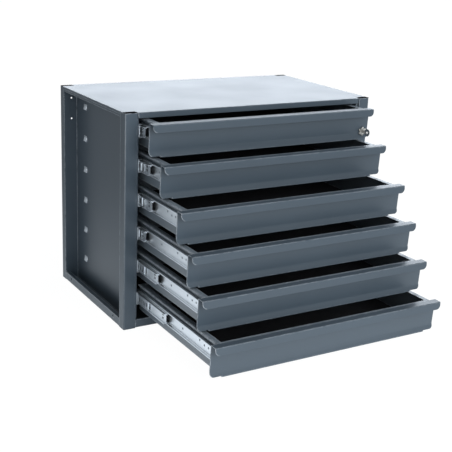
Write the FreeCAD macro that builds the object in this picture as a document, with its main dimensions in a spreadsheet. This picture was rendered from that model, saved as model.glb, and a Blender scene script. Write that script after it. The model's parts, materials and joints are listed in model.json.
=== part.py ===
import FreeCAD, Part
import math
import os
import Sketcher

# Six-drawer steel cabinet on ball-bearing telescopic slides, with its drawers standing partly open.
# Frame: X to the right from the cabinet's centre plane, Y to the back, Z up from the floor. Y is
# zero midway between the lowest drawer's lip and the cabinet's back. The cabinet is drawn with its
# front plane at zero and a drawer with the top front edge of its panel at zero, then placed.

SIZES = {
    # cabinet
    "cabinet_width": 720, "cabinet_depth": 420, "cabinet_height": 550, "frame_sheet": 1.2,
    "post_face": 32, "front_post_depth": 27.5, "rear_post_depth": 24, "post_bend": 3,
    "step_back": 6, "step_return": 9, "rear_return": 14, "recess_depth": 36.4,
    "top_fold": 14, "top_side_fold": 7, "notch_depth": 10, "rail_lift": 1.5,
    "rail_height": 21, "rail_flange": 28, "side_flange": 12, "back_depth": 21.4,
    "back_flange": 9, "cap_depth": 18, "cap_wall_gap": 0.6,
    "base_hole_inset": 66, "base_hole_radius": 3.6,
    "post_hole_radius": 2.2, "post_hole_inset": 21.4, "post_hole_drop": 30, "post_slot_drop": 86,
    # drawers
    "front_gap": 2.7, "top_gap": 3, "bottom_gap": 2, "front_side_gap": 0.6,
    "front_sheet": 1.2, "lip_depth": 18.9, "lip_height": 18.6, "lip_flare": 2.1, "lip_corner": 12,
    "lip_bend": 2, "crease_rise": 17.4, "crease_depth": 3.7, "ear_width": 30, "ear_rise": 3.2,
    "ear_corner": 9, "return_height": 30, "tray_setback": 7, "tray_sheet": 1, "tray_short": 2,
    "tray_top_drop": 1, "tray_lift": 14.2, "tray_flange": 10, "rim_reach": 4.5,
    "rim_drop": 3.8, "mat_thickness": 2, "mat_gap": 1.5,
    # telescopic slides
    "slide_space": 19.1, "slide_sheet": 1.6, "slide_drop": 28.8, "slide_setback": 4.5,
    "slide_from_back": 19.5, "channel_height": 33.4, "channel_reach": 8.5, "ball_race": 2.2,
    "middle_gap": 0.6, "hook_length": 19, "hook_height": 10, "hook_depth": 1, "hook_rise": 1.2,
    "hook_clearance": 0.2, "hook_from_back": 86, "hook_from_front": 45,
    "slide_hole_radius": 2.2, "slide_hole_from_front": 36, "slide_hole_rise": 2,
    "cage_thickness": 0.9, "cage_width": 3.6, "cage_depth": 3.2, "cage_length": 84,
    "cage_front": 12, "cage_end_gap": 27,
    # lock and keys
    "lock_from_side": 17, "lock_rise": 20.9, "lock_radius": 7, "lock_flange_radius": 9.5,
    "lock_flange": 2, "lock_length": 14, "lock_hole_gap": 0.1, "lock_notch_gap": 1,
    "plug_radius": 5, "plug_clearance": 0.05, "plug_proud": 0.8, "plug_end_play": 0.3,
    "plug_stub_radius": 3, "plug_stub_length": 3.6, "cam_length": 21, "cam_width": 12,
    "cam_sheet": 2, "cam_nut_width": 8, "cam_fit": 0.05,
    "key_sheet": 2, "key_blade_height": 7, "key_slot_gap": 0.1, "key_insert": 11, "key_neck": 9,
    "key_bow_radius": 10, "key_hole_radius": 3,
    # how far each drawer and its middle slide members stand out of the closed cabinet
    "drawer_1_open": 52.6, "drawer_2_open": 114.6, "drawer_3_open": 201.3,
    "drawer_4_open": 257, "drawer_5_open": 310.4, "drawer_6_open": 373.5,
    "middle_1_open": 28, "middle_2_open": 57, "middle_3_open": 70.5,
    "middle_4_open": 38.5, "middle_5_open": 109, "middle_6_open": 156,
}

DRAWERS = range(1, 7)

doc = FreeCAD.newDocument("drawer_cabinet")
sheet = doc.addObject("Spreadsheet::Sheet", "Sizes")


class Size:
    """A length with its value and the expression that binds it to the spreadsheet."""

    def __init__(self, value, text):
        self.value = float(value)
        self.text = text

    def join(self, other, sign, value, swap=False):
        first, second = (other, self) if swap else (self, other)
        return Size(value, f"({as_size(first).text} {sign} {as_size(second).text})")

    def __add__(self, other):
        return self.join(other, "+", self.value + as_size(other).value)

    def __radd__(self, other):
        return self.join(other, "+", as_size(other).value + self.value, swap=True)

    def __sub__(self, other):
        return self.join(other, "-", self.value - as_size(other).value)

    def __rsub__(self, other):
        return self.join(other, "-", as_size(other).value - self.value, swap=True)

    def __mul__(self, factor):
        return self.join(factor, "*", self.value * as_size(factor).value)

    __rmul__ = __mul__

    def __truediv__(self, divisor):
        return self.join(divisor, "/", self.value / as_size(divisor).value)

    def __neg__(self):
        return 0 - self


def as_size(number):
    return number if isinstance(number, Size) else Size(number, repr(number))


class Sizes:
    """Every spreadsheet value as an attribute, such as front_height."""


size = Sizes()
for row, (name, value) in enumerate(SIZES.items(), start=1):
    sheet.set(f"A{row}", name)
    sheet.set(f"B{row}", str(value))
    sheet.setAlias(f"B{row}", name)
    setattr(size, name, Size(value, f"Sizes.{name}"))
doc.recompute()


# ---- tools for bodies, sketches and features ----

def new_body(label):
    body = doc.addObject("PartDesign::Body", label)
    body.Label = label
    body.AllowCompound = True
    return body


def place(body, y=0, z=0):
    """Puts a body in the shared frame, moved back by y and up by z from where it is drawn."""
    body.setExpression("Placement.Base.y", (front_plane + y).text)
    body.setExpression("Placement.Base.z", as_size(z).text)


def new_sketch(body, plane, height=0):
    """A sketch on a plane of the body, moved along the plane's normal by height.

    XY_Plane draws X and Y and faces +Z, XZ_Plane draws X and Z and faces -Y, and YZ_Plane draws
    Y and Z and faces +X."""
    support = next(item for item in body.Origin.OriginFeatures if item.Role == plane)
    sketch = body.newObject("Sketcher::SketchObject", f"{body.Label}_sketch")
    sketch.AttachmentSupport = (support, [""])
    sketch.MapMode = "FlatFace"
    sketch.setExpression("AttachmentOffset.Base.z", as_size(height).text)
    return sketch


class Bindings:
    """Constraints gathered for a sketch, then added together with their expressions."""

    def __init__(self, sketch):
        self.sketch = sketch
        self.constraints = []
        self.distances = {}

    def add(self, *values):
        self.constraints.append(Sketcher.Constraint(*values))

    def bind(self, kind, *values, distance):
        self.distances[len(self.constraints)] = distance
        self.add(kind, *values, distance.value)

    def fix_point(self, geometry, vertex, point):
        for kind, distance in zip(("DistanceX", "DistanceY"), point):
            self.bind(kind, -1, 1, geometry, vertex, distance=distance)

    def close(self):
        first = self.sketch.ConstraintCount
        self.sketch.addConstraint(self.constraints)
        for offset, distance in self.distances.items():
            self.sketch.setExpression(f"Constraints[{first + offset}]", distance.text)


def vector(point):
    return FreeCAD.Vector(point[0].value, point[1].value, 0)


def outline(sketch, points):
    """A closed outline whose corners are bound to the spreadsheet."""
    corners = [(as_size(first), as_size(second)) for first, second in points]
    start = sketch.GeometryCount
    following = corners[1:] + corners[:1]
    lines = [Part.LineSegment(vector(one), vector(two)) for one, two in zip(corners, following)]
    sketch.addGeometry(lines, False)
    bindings = Bindings(sketch)
    for index, corner in enumerate(corners):
        after = start + (index + 1) % len(corners)
        bindings.add("Coincident", start + index, 2, after, 1)
        bindings.fix_point(start + index, 1, corner)
    bindings.close()


def circle(sketch, centre, radius):
    middle = (as_size(centre[0]), as_size(centre[1]))
    shape = Part.Circle(vector(middle), FreeCAD.Vector(0, 0, 1), radius.value)
    index = sketch.addGeometry(shape, False)
    bindings = Bindings(sketch)
    bindings.fix_point(index, 3, middle)
    bindings.bind("Radius", index, distance=radius)
    bindings.close()


def oval(sketch, centre, radius, straight):
    """An upright slot: two half circles joined by straight sides."""
    across, middle = as_size(centre[0]), as_size(centre[1])
    low, high = middle - straight / 2, middle + straight / 2
    normal = FreeCAD.Vector(0, 0, 1)
    upper = Part.Circle(vector((across, high)), normal, radius.value)
    lower = Part.Circle(vector((across, low)), normal, radius.value)
    left, right = across - radius, across + radius
    shapes = [
        Part.ArcOfCircle(upper, 0, math.pi),
        Part.LineSegment(vector((left, high)), vector((left, low))),
        Part.ArcOfCircle(lower, math.pi, 2 * math.pi),
        Part.LineSegment(vector((right, low)), vector((right, high))),
    ]
    start = sketch.GeometryCount
    sketch.addGeometry(shapes, False)
    bindings = Bindings(sketch)
    for index in range(4):
        bindings.add("Tangent", start + index, 2, start + (index + 1) % 4, 1)
    bindings.add("Equal", start, start + 2)
    bindings.fix_point(start, 3, (across, high))
    bindings.fix_point(start + 2, 3, (across, low))
    bindings.bind("Radius", start, distance=radius)
    bindings.close()


def rounded_corner(sketch, corner, side, radius):
    """The waste outside a rounded lower corner; side is 1 where the corner points right."""
    corner = (as_size(corner[0]), as_size(corner[1]))
    centre = (corner[0] - side * radius, corner[1] + radius)
    upper, lower = (corner[0], centre[1]), (centre[0], corner[1])
    whole = Part.Circle(vector(centre), FreeCAD.Vector(0, 0, 1), radius.value)
    right = side > 0
    turn = (1.5 * math.pi, 2 * math.pi) if right else (math.pi, 1.5 * math.pi)
    start = sketch.GeometryCount
    shapes = [
        Part.LineSegment(vector(upper), vector(corner)),
        Part.LineSegment(vector(corner), vector(lower)),
        Part.ArcOfCircle(whole, *turn),
    ]
    sketch.addGeometry(shapes, False)
    bindings = Bindings(sketch)
    bindings.add("Coincident", start, 2, start + 1, 1)
    bindings.add("Coincident", start + 1, 2, start + 2, 1 if right else 2)
    bindings.add("Coincident", start, 1, start + 2, 2 if right else 1)
    bindings.fix_point(start, 1, upper)
    bindings.fix_point(start, 2, corner)
    bindings.fix_point(start + 1, 2, lower)
    bindings.bind("Radius", start + 2, distance=radius)
    bindings.close()


def rectangle(sketch, low, high):
    outline(sketch, [low, (high[0], low[1]), high, (low[0], high[1])])


def sign_of(number):
    return (number > 0) - (number < 0)


def folded(path, thickness):
    """The outline of a folded sheet: its path, with the sheet's thickness on the right of it."""
    points = [(as_size(first), as_size(second)) for first, second in path]
    sides = []
    for (ax, ay), (bx, by) in zip(points, points[1:]):
        across, up = bx.value - ax.value, by.value - ay.value
        flat = abs(across) > abs(up)
        sides.append((0, -sign_of(across)) if flat else (sign_of(up), 0))
    back = []
    for index, (px, py) in enumerate(points):
        near = sides[max(index - 1, 0)], sides[min(index, len(sides) - 1)]
        shift = [near[0][axis] or near[1][axis] for axis in (0, 1)]
        back.append((px + thickness * shift[0], py + thickness * shift[1]))
    return points + back[::-1]


def mirrored(points, side):
    """The same outline on the left (-1) or right (1) of the centre plane."""
    return [(side * as_size(first), second) for first, second in points]


def pad(body, sketch, length, both_ways=False, reverse=False):
    feature = body.newObject("PartDesign::Pad", f"{body.Label}_pad")
    feature.Profile = sketch
    feature.setExpression("Length", as_size(length).text)
    feature.Midplane = both_ways
    feature.Reversed = reverse
    sketch.Visibility = False
    body.Tip = feature
    return feature


def pocket_through(body, sketch):
    """Cuts the sketch both ways through the whole body."""
    feature = body.newObject("PartDesign::Pocket", f"{body.Label}_pocket")
    feature.Profile = sketch
    feature.Type = 1
    feature.Midplane = True
    sketch.Visibility = False
    body.Tip = feature
    return feature


def pocket_depth(body, sketch, depth, both_ways=False, reverse=False):
    feature = body.newObject("PartDesign::Pocket", f"{body.Label}_pocket")
    feature.Profile = sketch
    feature.setExpression("Length", as_size(depth).text)
    feature.Midplane = both_ways
    feature.Reversed = reverse
    sketch.Visibility = False
    body.Tip = feature
    return feature


def repeat_down(body, features):
    """Repeats the features once for every drawer below the first."""
    pattern = body.newObject("PartDesign::LinearPattern", f"{body.Label}_levels")
    pattern.Originals = features
    upright = next(item for item in body.Origin.OriginFeatures if item.Role == "Z_Axis")
    pattern.Direction = (upright, [""])
    pattern.Reversed = True
    pattern.Mode = "Spacing"
    pattern.setExpression("Offset", drawer_pitch.text)
    pattern.Occurrences = len(DRAWERS)
    body.Tip = pattern
    return pattern


def fillet(body, radius, wanted):
    """Rounds the edges of the body's last feature that the test picks out."""
    doc.recompute()
    base = body.Tip
    names = [f"Edge{index}" for index, edge in enumerate(base.Shape.Edges, start=1) if wanted(edge)]
    if not names:
        raise ValueError(f"no edge to round on {body.Label}")
    feature = body.newObject("PartDesign::Fillet", f"{body.Label}_fillet")
    feature.Base = (base, names)
    feature.setExpression("Radius", as_size(radius).text)
    body.Tip = feature
    return feature


def edge_test(direction, **near):
    """Picks straight edges along an axis whose middle lies at the given places."""
    def wanted(edge):
        if edge.Curve.TypeId != "Part::GeomLine":
            return False
        ends = edge.Vertexes[0].Point, edge.Vertexes[-1].Point
        along = abs(getattr(ends[1] - ends[0], direction))
        middle = (ends[0] + ends[1]) / 2
        placed = all(abs(getattr(middle, axis) - place) < 0.01 for axis, place in near.items())
        return placed and along > 0.9 * edge.Length
    return wanted


# ---- places that several pieces share ----

lip_front = size.drawer_6_open + size.lip_depth + size.lip_flare
front_plane = (lip_front - size.cabinet_depth) / 2
half_width = size.cabinet_width / 2
inner_half = half_width - size.recess_depth - size.frame_sheet
front_half = inner_half - size.front_side_gap
tray_half = inner_half - size.slide_space
top_under = size.cabinet_height - size.frame_sheet
recess_front = size.front_post_depth
recess_back = size.cabinet_depth - size.rear_post_depth
rail_top = size.rail_lift + size.rail_height
first_top = size.cabinet_height - size.top_fold - size.top_gap
drawer_space = first_top - rail_top - size.bottom_gap
drawer_pitch = (drawer_space + size.front_gap) / len(DRAWERS)
front_height = drawer_pitch - size.front_gap
tray_height = front_height - size.tray_lift
slide_length = size.cabinet_depth - size.slide_setback - size.slide_from_back
tray_length = slide_length - size.tray_short
middle_height = size.channel_height - 2 * (size.slide_sheet + size.ball_race)
cage_rear = slide_length - size.cage_length - size.cage_end_gap
hook_places = (size.hook_from_front, size.cabinet_depth - size.hook_from_back)


def drawer_top(number):
    """Height of a drawer's top edge above the floor."""
    return first_top - (number - 1) * drawer_pitch


def slide_height(number):
    return drawer_top(number) - size.slide_drop


def slide_x(depth):
    """Distance from the centre plane of a point that lies depth into the slide from its side."""
    return inner_half - depth


# ---- cabinet ----

def side_frame(label, side):
    """Recessed side wall with its front and rear posts, folded from one sheet."""
    body = new_body(label)
    step_in = size.recess_depth + size.frame_sheet
    path = [
        (step_in, size.step_back + size.step_return),
        (step_in, size.step_back),
        (size.post_face, size.step_back),
        (size.post_face, 0),
        (0, 0),
        (0, recess_front),
        (size.recess_depth, recess_front),
        (size.recess_depth, recess_back),
        (0, recess_back),
        (0, size.cabinet_depth),
        (size.rear_return, size.cabinet_depth),
    ]
    section = [(half_width - first, second) for first, second in folded(path, size.frame_sheet)]
    sketch = new_sketch(body, "XY_Plane")
    outline(sketch, mirrored(section, side))
    pad(body, sketch, top_under)
    corner = side * half_width.value
    fillet(body, size.post_bend, edge_test("z", x=corner, y=0))
    inner = side * (half_width - size.frame_sheet).value
    fillet(body, size.post_bend - size.frame_sheet, edge_test("z", x=inner, y=size.frame_sheet.value))
    hook_holes = new_sketch(body, "YZ_Plane", side * inner_half)
    half_long = size.hook_length / 2 + size.hook_clearance
    half_tall = size.hook_height / 2 + size.hook_clearance
    for number in DRAWERS:
        height = slide_height(number) + size.hook_rise
        for middle in hook_places:
            low = (middle - half_long, height - half_tall)
            rectangle(hook_holes, low, (middle + half_long, height + half_tall))
    pocket_depth(body, hook_holes, 3 * size.frame_sheet, both_ways=True)
    post_holes = new_sketch(body, "XZ_Plane", -(recess_back + size.frame_sheet))
    column = side * (half_width - size.post_hole_inset)
    circle(post_holes, (column, top_under - size.post_hole_drop), size.post_hole_radius)
    circle(post_holes, (column, top_under - size.post_slot_drop), size.post_hole_radius)
    pocket_depth(body, post_holes, 4 * size.frame_sheet, both_ways=True)
    return body


def top_panel():
    """Top sheet with folded edges and a notch at each corner for the post caps."""
    body = new_body("top_panel")
    notch_x = half_width - size.post_face - size.frame_sheet
    notch_front = size.notch_depth
    notch_back = size.cabinet_depth - size.notch_depth
    points = [
        (-notch_x, 0), (notch_x, 0), (notch_x, notch_front), (half_width, notch_front),
        (half_width, notch_back), (notch_x, notch_back), (notch_x, size.cabinet_depth),
        (-notch_x, size.cabinet_depth), (-notch_x, notch_back), (-half_width, notch_back),
        (-half_width, notch_front), (-notch_x, notch_front),
    ]
    plate = new_sketch(body, "XY_Plane", top_under)
    outline(plate, points)
    pad(body, plate, size.frame_sheet)
    folds = new_sketch(body, "YZ_Plane")
    low = size.cabinet_height - size.top_fold
    rectangle(folds, (0, low), (size.frame_sheet, size.cabinet_height))
    back = size.cabinet_depth
    rectangle(folds, (back - size.frame_sheet, low), (back, size.cabinet_height))
    pad(body, folds, 2 * (notch_x - size.frame_sheet), both_ways=True)
    sides = new_sketch(body, "XZ_Plane", -(recess_front + size.cap_wall_gap))
    low = size.cabinet_height - size.top_side_fold
    for side in (-1, 1):
        outer = side * half_width
        rectangle(sides, (outer, low), (outer - side * size.frame_sheet, size.cabinet_height))
    length = recess_back - recess_front - 2 * size.cap_wall_gap
    pad(body, sides, length, reverse=True)
    fillet(body, size.frame_sheet * 0.8, edge_test("x", y=0, z=size.cabinet_height.value))
    return body


def back_panel():
    """Shallow pan that closes the back and stands clear of the slides' ends."""
    body = new_body("back_panel")
    seat = recess_back + size.frame_sheet
    far = seat + size.back_depth - size.frame_sheet
    flange = inner_half + size.back_flange
    path = [(flange, seat), (inner_half, seat), (inner_half, far)]
    path += [(-inner_half, far), (-inner_half, seat), (-flange, seat)]
    sketch = new_sketch(body, "XY_Plane", size.rail_lift)
    outline(sketch, folded(path, size.frame_sheet))
    pad(body, sketch, top_under - size.rail_lift)
    return body


def side_top_rails():
    body = new_body("side_top_rails")
    sketch = new_sketch(body, "XZ_Plane", -recess_front)
    outer = size.frame_sheet + size.cap_wall_gap / 2
    path = [(outer, top_under - size.side_flange), (outer, top_under), (size.recess_depth, top_under)]
    for side in (-1, 1):
        section = [(half_width - first, second) for first, second in folded(path, size.frame_sheet)]
        outline(sketch, mirrored(section, side))
    pad(body, sketch, recess_back - recess_front, reverse=True)
    return body


def side_bottom_rails():
    """Channel under each recess, with the holes that bolt the cabinet to a stand."""
    body = new_body("side_bottom_rails")
    sketch = new_sketch(body, "XZ_Plane", -recess_front)
    path = [(size.recess_depth, size.rail_lift), (0, size.rail_lift), (0, rail_top)]
    path.append((size.side_flange, rail_top))
    for side in (-1, 1):
        section = [(half_width - first, second) for first, second in folded(path, size.frame_sheet)]
        outline(sketch, mirrored(section, side))
    pad(body, sketch, recess_back - recess_front, reverse=True)
    holes = new_sketch(body, "YZ_Plane")
    height = size.rail_lift + size.rail_height * 0.6
    for place_y in (size.base_hole_inset, size.cabinet_depth - size.base_hole_inset):
        circle(holes, (place_y, height), size.base_hole_radius)
    pocket_through(body, holes)
    return body


def front_bottom_rail():
    body = new_body("front_bottom_rail")
    face = size.cap_wall_gap / 2
    path = [(size.rail_flange, size.rail_lift), (face, size.rail_lift), (face, rail_top)]
    path.append((size.step_back, rail_top))
    section = new_sketch(body, "YZ_Plane")
    outline(section, folded(path, size.frame_sheet))
    pad(body, section, 2 * (inner_half - size.cap_wall_gap), both_ways=True)
    reach = half_width - size.post_face - size.cap_wall_gap / 2
    plate = new_sketch(body, "XZ_Plane", -face)
    rectangle(plate, (-reach, size.rail_lift), (reach, rail_top))
    pad(body, plate, size.frame_sheet, reverse=True)
    return body


def rear_bottom_rail():
    """Angle that ties the side walls together at the back, under the lowest drawer."""
    body = new_body("rear_bottom_rail")
    face = recess_back + size.frame_sheet - size.cap_wall_gap / 2
    path = [(face, rail_top), (face, size.rail_lift), (face - size.rail_flange, size.rail_lift)]
    section = new_sketch(body, "YZ_Plane")
    outline(section, folded(path, size.frame_sheet))
    pad(body, section, 2 * (inner_half - size.cap_wall_gap / 2), both_ways=True)
    return body


def post_caps():
    """Black plugs that close the open tops of the four posts."""
    body = new_body("post_caps")
    heads = new_sketch(body, "XY_Plane", top_under)
    stems = new_sketch(body, "XY_Plane", top_under - size.cap_depth)
    gap = size.frame_sheet + size.cap_wall_gap
    back = size.cabinet_depth
    front_stem = (gap, recess_front - gap)
    rear_stem = (recess_back + gap + size.frame_sheet, back - gap)
    front_head = (0, size.notch_depth - size.cap_wall_gap)
    rear_head = (back - size.notch_depth + size.cap_wall_gap, back)
    for side in (-1, 1):
        outer, inner = side * half_width, side * (half_width - size.post_face)
        for low, high in (front_head, rear_head):
            rectangle(heads, (outer, low), (inner, high))
        outer, inner = side * (half_width - gap), side * (half_width - size.post_face + gap)
        for low, high in (front_stem, rear_stem):
            rectangle(stems, (outer, low), (inner, high))
    pad(body, stems, size.cap_depth)
    pad(body, heads, size.frame_sheet)
    return body


# ---- telescopic slides ----

def channel():
    """Section of a cabinet or drawer member: a web with two lips, drawn as a depth and a height."""
    half = size.channel_height / 2
    reach = size.channel_reach
    return folded([(reach, -half), (0, -half), (0, half), (reach, half)], size.slide_sheet)


def cabinet_slide_members():
    """Fixed members of all twelve slides, each with two hooks in the side wall."""
    body = new_body("cabinet_slide_members")
    section = new_sketch(body, "XZ_Plane", -(size.slide_setback + slide_length))
    height = slide_height(1)
    for side in (-1, 1):
        points = [(slide_x(depth), rise + height) for depth, rise in channel()]
        outline(section, mirrored(points, side))
    features = [pad(body, section, slide_length)]
    low = height + size.hook_rise - size.hook_height / 2
    for middle in hook_places:
        hooks = new_sketch(body, "XZ_Plane", -(middle + size.hook_length / 2))
        for side in (-1, 1):
            wall = side * slide_x(0)
            rectangle(hooks, (wall, low), (wall + side * size.hook_depth, low + size.hook_height))
        features.append(pad(body, hooks, size.hook_length))
    repeat_down(body, features)
    return body


def paired_member(label, shape):
    """A left and a right slide member of one drawer, level with the drawer's slide line."""
    body = new_body(label)
    section = new_sketch(body, "XZ_Plane", -(size.slide_setback + slide_length))
    for side in (-1, 1):
        points = [(across, rise - size.slide_drop) for across, rise in shape]
        outline(section, mirrored(points, side))
    pad(body, section, slide_length)
    return body


def drawer_slide_members(number):
    """Channels fixed to the tray's sides, open outwards, with a locating hole near the front."""
    section = [(tray_half + depth, rise) for depth, rise in channel()]
    body = paired_member(f"drawer_{number}_slides", section)
    hole = new_sketch(body, "YZ_Plane")
    height = size.slide_hole_rise - size.slide_drop
    circle(hole, (size.slide_hole_from_front, height), size.slide_hole_radius)
    pocket_through(body, hole)
    return body


def middle_section():
    """Section of a middle member: two channels back to back, one in each of its neighbours."""
    half = middle_height / 2
    inside = half - size.slide_sheet
    near = size.slide_sheet + size.middle_gap
    far = size.slide_space - near
    front, back = (size.slide_space / 2 + shift for shift in (-size.slide_sheet, size.slide_sheet))
    upper = [(near, inside), (near, half), (far, half), (far, inside), (back, inside)]
    lower = [(back, -inside), (far, -inside), (far, -half), (near, -half), (near, -inside)]
    return upper + lower + [(front, -inside), (front, inside)]


def middle_slide_members(number):
    """Middle members, which run between the cabinet's and the drawer's channels."""
    section = [(slide_x(depth), rise) for depth, rise in middle_section()]
    return paired_member(f"middle_slides_{number}", section)


def ball_cages(number):
    """Strips that space the balls: four run in the cabinet's channels, four in the drawer's."""
    body = new_body(f"ball_cages_{number}")
    rise = (middle_height + size.ball_race) / 2
    drawer_side = size.slide_space - size.cage_depth - size.cage_width
    for depth, start in ((size.cage_depth, cage_rear), (drawer_side, size.cage_front)):
        section = new_sketch(body, "XZ_Plane", -(start + size.cage_length))
        for side in (-1, 1):
            near, far = side * slide_x(depth), side * slide_x(depth + size.cage_width)
            for upright in (-1, 1):
                low = upright * rise - size.slide_drop - size.cage_thickness / 2
                rectangle(section, (near, low), (far, low + size.cage_thickness))
        pad(body, section, size.cage_length)
    return body


# ---- drawers ----

def drawer_front(number):
    """Folded front with its projecting finger lip, crease and lower return."""
    body = new_body(f"drawer_{number}_front")
    metal = size.front_sheet
    ear_bottom = size.ear_rise - front_height
    lip = [
        (-(size.lip_depth + size.lip_flare), -size.lip_height),
        (-size.lip_depth, 0),
        (metal, 0),
        (metal + size.crease_depth, size.crease_rise - front_height),
        (metal, ear_bottom),
    ]
    upper = new_sketch(body, "YZ_Plane")
    outline(upper, folded(lip, metal))
    pad(body, upper, 2 * front_half, both_ways=True)
    back = size.tray_setback - metal
    floor = metal - front_height
    fold = [(metal, ear_bottom), (metal, floor), (back, floor), (back, floor + size.return_height)]
    lower = new_sketch(body, "YZ_Plane")
    outline(lower, folded(fold, metal))
    pad(body, lower, 2 * (front_half - size.ear_width), both_ways=True)
    rounding = new_sketch(body, "XZ_Plane", size.lip_depth / 2)
    for side in (-1, 1):
        rounded_corner(rounding, (side * front_half, -size.lip_height), side, size.lip_corner)
    pocket_depth(body, rounding, size.lip_depth, reverse=True)
    rounding = new_sketch(body, "XZ_Plane", size.crease_depth)
    for side in (-1, 1):
        rounded_corner(rounding, (side * front_half, ear_bottom), side, size.ear_corner)
    pocket_depth(body, rounding, 3 * size.crease_depth)
    edge_y = -size.lip_depth.value
    fillet(body, size.lip_bend, edge_test("x", y=edge_y, z=0))
    fillet(body, size.lip_bend - metal, edge_test("x", y=edge_y + metal.value, z=-metal.value))
    return body


def drawer_tray(number):
    """Sheet tray with a hooked rim on each side, a back wall and a front wall at the drawer front."""
    body = new_body(f"drawer_{number}_tray")
    metal = size.tray_sheet
    top = -size.tray_top_drop
    bottom = top - tray_height
    flange = tray_half - size.tray_flange
    under_rim = top - metal
    path = [(tray_half, under_rim), (tray_half, bottom), (-tray_half, bottom), (-tray_half, under_rim)]
    rear = size.tray_setback + tray_length
    sides = new_sketch(body, "XZ_Plane", -rear)
    outline(sides, folded(path, metal))
    pad(body, sides, tray_length)
    rims = new_sketch(body, "XZ_Plane", -rear)
    rim_half = tray_half + size.rim_reach
    rim = folded([(rim_half, top - size.rim_drop), (rim_half, top), (flange, top)][::-1], metal)
    for side in (-1, 1):
        outline(rims, mirrored(rim, side))
    pad(body, rims, tray_length)
    walls = new_sketch(body, "YZ_Plane")
    front_face = size.tray_setback + metal
    front_path = [(size.front_sheet + size.cap_wall_gap / 2, top), (front_face, top)]
    front_path.append((front_face, bottom))
    outline(walls, folded(front_path, metal))
    back_path = [(rear - metal, bottom), (rear - metal, top - metal), (rear - size.tray_flange, top - metal)]
    outline(walls, folded([(first, second) for first, second in back_path], metal))
    pad(body, walls, 2 * tray_half, both_ways=True)
    return body


def drawer_mat(number):
    """Ribbed rubber mat that lies on the tray's bottom."""
    body = new_body(f"drawer_{number}_mat")
    floor = -(size.tray_top_drop + tray_height - size.tray_sheet)
    reach = tray_half - size.tray_sheet - size.mat_gap
    front = size.tray_setback + size.tray_sheet + size.mat_gap
    back = size.tray_setback + tray_length - size.tray_sheet - size.mat_gap
    sketch = new_sketch(body, "XY_Plane", floor)
    rectangle(sketch, (-reach, front), (reach, back))
    pad(body, sketch, size.mat_thickness)
    return body


# ---- lock and key, on the top drawer ----

def ear_surface(rise):
    """How far behind the panel's own front plane the ear lies, rise above its lower edge."""
    slope_height = size.crease_rise - size.ear_rise
    return size.crease_depth * rise / slope_height


lock_x = front_half - size.lock_from_side
lock_z = size.lock_rise - front_height
ear_edge = size.ear_rise - front_height
lock_seat = ear_surface(lock_z - size.lock_flange_radius - ear_edge)
lock_face = lock_seat - size.lock_flange
lock_back = lock_seat + size.lock_length
plug_face = lock_face - size.plug_proud
cam_front = lock_back + size.plug_end_play
cam_back = cam_front + size.cam_sheet
key_shoulder = plug_face - size.key_slot_gap
key_tip = key_shoulder + size.key_insert


def cylinder(body, centre, radius, front, back):
    """A round bar along Y."""
    sketch = new_sketch(body, "XZ_Plane", -back)
    circle(sketch, centre, radius)
    return pad(body, sketch, back - front)


def lock_housing():
    body = new_body("lock_housing")
    centre = (lock_x, lock_z)
    cylinder(body, centre, size.lock_flange_radius, lock_face, lock_seat)
    cylinder(body, centre, size.lock_radius, lock_seat, lock_back)
    bore = new_sketch(body, "XZ_Plane")
    circle(bore, centre, size.plug_radius + size.plug_clearance)
    pocket_through(body, bore)
    return body


def lock_plug():
    """Turning core with a slot for the key and a stub that carries the cam."""
    body = new_body("lock_plug")
    centre = (lock_x, lock_z)
    cylinder(body, centre, size.plug_radius, plug_face, cam_front)
    cylinder(body, centre, size.plug_stub_radius, cam_front, cam_back + size.plug_stub_length)
    keyway = new_sketch(body, "XZ_Plane", -plug_face)
    half_wide = size.key_sheet / 2 + size.key_slot_gap
    half_tall = size.key_blade_height / 2 + size.key_slot_gap
    low = (lock_x - half_wide, lock_z - half_tall)
    rectangle(keyway, low, (lock_x + half_wide, lock_z + half_tall))
    depth = size.key_insert + size.key_slot_gap
    pocket_depth(body, keyway, depth)
    return body


def lock_cam():
    """Tongue that turns behind the right-hand post and holds the drawer shut."""
    body = new_body("lock_cam")
    sketch = new_sketch(body, "XZ_Plane", -cam_back)
    straight = size.cam_length - size.cam_width / 2
    oval(sketch, (lock_x, lock_z - straight / 2), size.cam_width / 2, straight)
    circle(sketch, (lock_x, lock_z), size.plug_stub_radius + size.cam_fit)
    pad(body, sketch, size.cam_sheet)
    return body


def cam_nut():
    body = new_body("cam_nut")
    sketch = new_sketch(body, "XZ_Plane", -(cam_back + size.cam_sheet))
    half = size.cam_nut_width / 2
    corner = half / math.cos(math.pi / 6)
    edge = corner / 2
    points = [(corner, 0), (edge, half), (-edge, half), (-corner, 0), (-edge, -half), (edge, -half)]
    outline(sketch, [(lock_x + first, lock_z + second) for first, second in points])
    circle(sketch, (lock_x, lock_z), size.plug_stub_radius + size.cam_fit)
    pad(body, sketch, size.cam_sheet)
    return body


def key():
    """A flat key that stands in the plug: a round bow with a hole, and a straight blade."""
    body = new_body("key")
    hole = (key_shoulder - size.key_neck - size.key_bow_radius, lock_z)
    half = size.key_blade_height / 2
    blade = new_sketch(body, "YZ_Plane", lock_x)
    rectangle(blade, (hole[0], lock_z - half), (key_tip, lock_z + half))
    pad(body, blade, size.key_sheet, both_ways=True)
    bow = new_sketch(body, "YZ_Plane", lock_x)
    circle(bow, hole, size.key_bow_radius)
    pad(body, bow, size.key_sheet, both_ways=True)
    opening = new_sketch(body, "YZ_Plane", lock_x)
    circle(opening, hole, size.key_hole_radius)
    pocket_depth(body, opening, 2 * size.key_sheet, both_ways=True)
    return body


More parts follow.
